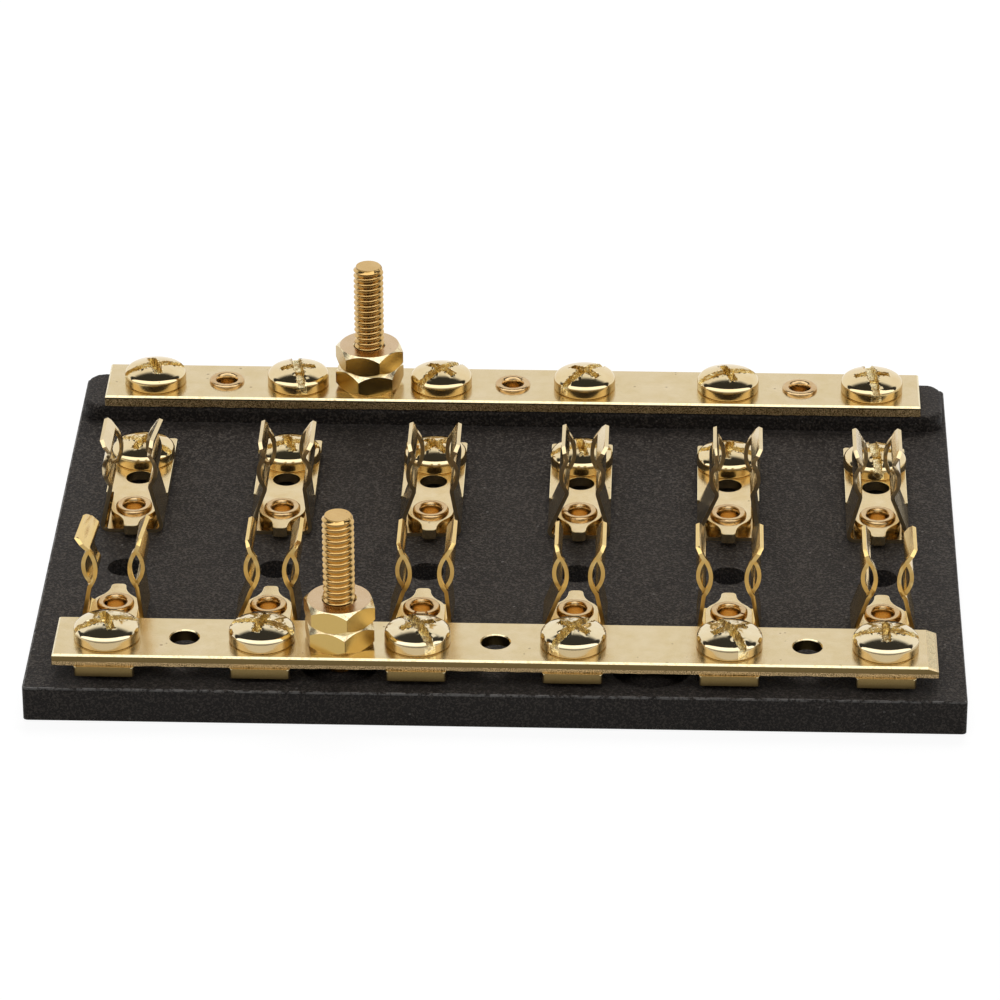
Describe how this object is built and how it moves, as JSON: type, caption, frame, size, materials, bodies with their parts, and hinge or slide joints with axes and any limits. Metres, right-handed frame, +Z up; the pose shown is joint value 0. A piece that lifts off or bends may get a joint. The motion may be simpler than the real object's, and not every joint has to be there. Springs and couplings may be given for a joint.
{
  "type": "fuse terminal block",
  "caption": "Open fuse terminal block: brass spring clips and screw terminals between two brass bus bars with studs, on a dark moulded base.",
  "frame": {"origin": "centre of the base's underside", "axes": "+X along the row of ways, +Y from the front bar to the rear bar, +Z up"},
  "size_m": [0.115, 0.0826, 0.0255],
  "materials": {
    "base": "matte, fine grain",
    "bar_brass": "polished, sheared edges",
    "clip_brass": "bright spring brass",
    "plate_brass": "bright",
    "screw_brass": "bright plated",
    "stud_brass": "satin, threaded",
    "nut_brass": "satin, machined",
    "eyelet_metal": "rolled copper alloy"
  },
  "bodies": {
    "block": {"base": "base", "front_bus_bar": "bar_brass", "rear_bus_bar": "bar_brass", "front_clip_1": "clip_brass", "front_clip_2": "clip_brass", "front_clip_3": "clip_brass", "front_clip_4": "clip_brass", "front_clip_5": "clip_brass", "front_clip_6": "clip_brass", "rear_clip_1": "clip_brass", "rear_clip_2": "clip_brass", "rear_clip_3": "clip_brass", "rear_clip_4": "clip_brass", "rear_clip_5": "clip_brass", "rear_clip_6": "clip_brass", "front_terminal_1": "plate_brass", "front_terminal_2": "plate_brass", "front_terminal_3": "plate_brass", "front_terminal_4": "plate_brass", "front_terminal_5": "plate_brass", "front_terminal_6": "plate_brass", "rear_terminal_1": "plate_brass", "rear_terminal_2": "plate_brass", "rear_terminal_3": "plate_brass", "rear_terminal_4": "plate_brass", "rear_terminal_5": "plate_brass", "rear_terminal_6": "plate_brass", "front_stud": "stud_brass", "rear_stud": "stud_brass", "front_fixing_nut": "nut_brass", "rear_fixing_nut": "nut_brass", "front_clip_eyelets": "eyelet_metal", "rear_clip_eyelets": "eyelet_metal", "rear_bar_eyelets": "eyelet_metal"},
    "front_bar_screw_1": {"front_bar_screw_1": "screw_brass"},
    "front_bar_screw_2": {"front_bar_screw_2": "screw_brass"},
    "front_bar_screw_3": {"front_bar_screw_3": "screw_brass"},
    "front_bar_screw_4": {"front_bar_screw_4": "screw_brass"},
    "front_bar_screw_5": {"front_bar_screw_5": "screw_brass"},
    "front_bar_screw_6": {"front_bar_screw_6": "screw_brass"},
    "rear_bar_screw_1": {"rear_bar_screw_1": "screw_brass"},
    "rear_bar_screw_2": {"rear_bar_screw_2": "screw_brass"},
    "rear_bar_screw_3": {"rear_bar_screw_3": "screw_brass"},
    "rear_bar_screw_4": {"rear_bar_screw_4": "screw_brass"},
    "rear_bar_screw_5": {"rear_bar_screw_5": "screw_brass"},
    "rear_bar_screw_6": {"rear_bar_screw_6": "screw_brass"},
    "rear_clip_screw_1": {"rear_clip_screw_1": "screw_brass"},
    "rear_clip_screw_2": {"rear_clip_screw_2": "screw_brass"},
    "rear_clip_screw_3": {"rear_clip_screw_3": "screw_brass"},
    "rear_clip_screw_4": {"rear_clip_screw_4": "screw_brass"},
    "rear_clip_screw_5": {"rear_clip_screw_5": "screw_brass"},
    "rear_clip_screw_6": {"rear_clip_screw_6": "screw_brass"},
    "front_terminal_nut": {"front_terminal_nut": "nut_brass"},
    "rear_terminal_nut": {"rear_terminal_nut": "nut_brass"}
  },
  "joints": [
    {"name": "front_bar_screw_1_turn", "type": "hinge", "parent": "block", "child": "front_bar_screw_1", "pos_m": [-0.04763, -0.034, 0.0078], "axis": [0, 0, 1], "range_deg": [0, 810]},
    {"name": "front_bar_screw_2_turn", "type": "hinge", "parent": "block", "child": "front_bar_screw_2", "pos_m": [-0.02857, -0.034, 0.0078], "axis": [0, 0, 1], "range_deg": [0, 810]},
    {"name": "front_bar_screw_3_turn", "type": "hinge", "parent": "block", "child": "front_bar_screw_3", "pos_m": [-0.00953, -0.034, 0.0078], "axis": [0, 0, 1], "range_deg": [0, 810]},
    {"name": "front_bar_screw_4_turn", "type": "hinge", "parent": "block", "child": "front_bar_screw_4", "pos_m": [0.00953, -0.034, 0.0078], "axis": [0, 0, 1], "range_deg": [0, 810]},
    {"name": "front_bar_screw_5_turn", "type": "hinge", "parent": "block", "child": "front_bar_screw_5", "pos_m": [0.02857, -0.034, 0.0078], "axis": [0, 0, 1], "range_deg": [0, 810]},
    {"name": "front_bar_screw_6_turn", "type": "hinge", "parent": "block", "child": "front_bar_screw_6", "pos_m": [0.04763, -0.034, 0.0078], "axis": [0, 0, 1], "range_deg": [0, 810]},
    {"name": "rear_bar_screw_1_turn", "type": "hinge", "parent": "block", "child": "rear_bar_screw_1", "pos_m": [-0.04763, 0.034, 0.00815], "axis": [0, 0, 1], "range_deg": [0, 810]},
    {"name": "rear_bar_screw_2_turn", "type": "hinge", "parent": "block", "child": "rear_bar_screw_2", "pos_m": [-0.02857, 0.034, 0.00815], "axis": [0, 0, 1], "range_deg": [0, 810]},
    {"name": "rear_bar_screw_3_turn", "type": "hinge", "parent": "block", "child": "rear_bar_screw_3", "pos_m": [-0.00953, 0.034, 0.00815], "axis": [0, 0, 1], "range_deg": [0, 810]},
    {"name": "rear_bar_screw_4_turn", "type": "hinge", "parent": "block", "child": "rear_bar_screw_4", "pos_m": [0.00953, 0.034, 0.00815], "axis": [0, 0, 1], "range_deg": [0, 810]},
    {"name": "rear_bar_screw_5_turn", "type": "hinge", "parent": "block", "child": "rear_bar_screw_5", "pos_m": [0.02857, 0.034, 0.00815], "axis": [0, 0, 1], "range_deg": [0, 810]},
    {"name": "rear_bar_screw_6_turn", "type": "hinge", "parent": "block", "child": "rear_bar_screw_6", "pos_m": [0.04763, 0.034, 0.00815], "axis": [0, 0, 1], "range_deg": [0, 810]},
    {"name": "rear_clip_screw_1_turn", "type": "hinge", "parent": "block", "child": "rear_clip_screw_1", "pos_m": [-0.04763, 0.0158, 0.00635], "axis": [0, 0, 1], "range_deg": [0, 810]},
    {"name": "rear_clip_screw_2_turn", "type": "hinge", "parent": "block", "child": "rear_clip_screw_2", "pos_m": [-0.02857, 0.0158, 0.00635], "axis": [0, 0, 1], "range_deg": [0, 810]},
    {"name": "rear_clip_screw_3_turn", "type": "hinge", "parent": "block", "child": "rear_clip_screw_3", "pos_m": [-0.00953, 0.0158, 0.00635], "axis": [0, 0, 1], "range_deg": [0, 810]},
    {"name": "rear_clip_screw_4_turn", "type": "hinge", "parent": "block", "child": "rear_clip_screw_4", "pos_m": [0.00953, 0.0158, 0.00635], "axis": [0, 0, 1], "range_deg": [0, 810]},
    {"name": "rear_clip_screw_5_turn", "type": "hinge", "parent": "block", "child": "rear_clip_screw_5", "pos_m": [0.02857, 0.0158, 0.00635], "axis": [0, 0, 1], "range_deg": [0, 810]},
    {"name": "rear_clip_screw_6_turn", "type": "hinge", "parent": "block", "child": "rear_clip_screw_6", "pos_m": [0.04763, 0.0158, 0.00635], "axis": [0, 0, 1], "range_deg": [0, 810]},
    {"name": "front_terminal_nut_turn", "type": "hinge", "parent": "block", "child": "front_terminal_nut", "pos_m": [-0.01905, -0.034, 0.0107], "axis": [0, 0, 1], "range_deg": [0, 810]},
    {"name": "rear_terminal_nut_turn", "type": "hinge", "parent": "block", "child": "rear_terminal_nut", "pos_m": [-0.01905, 0.034, 0.01105], "axis": [0, 0, 1], "range_deg": [0, 810]}
  ]
}
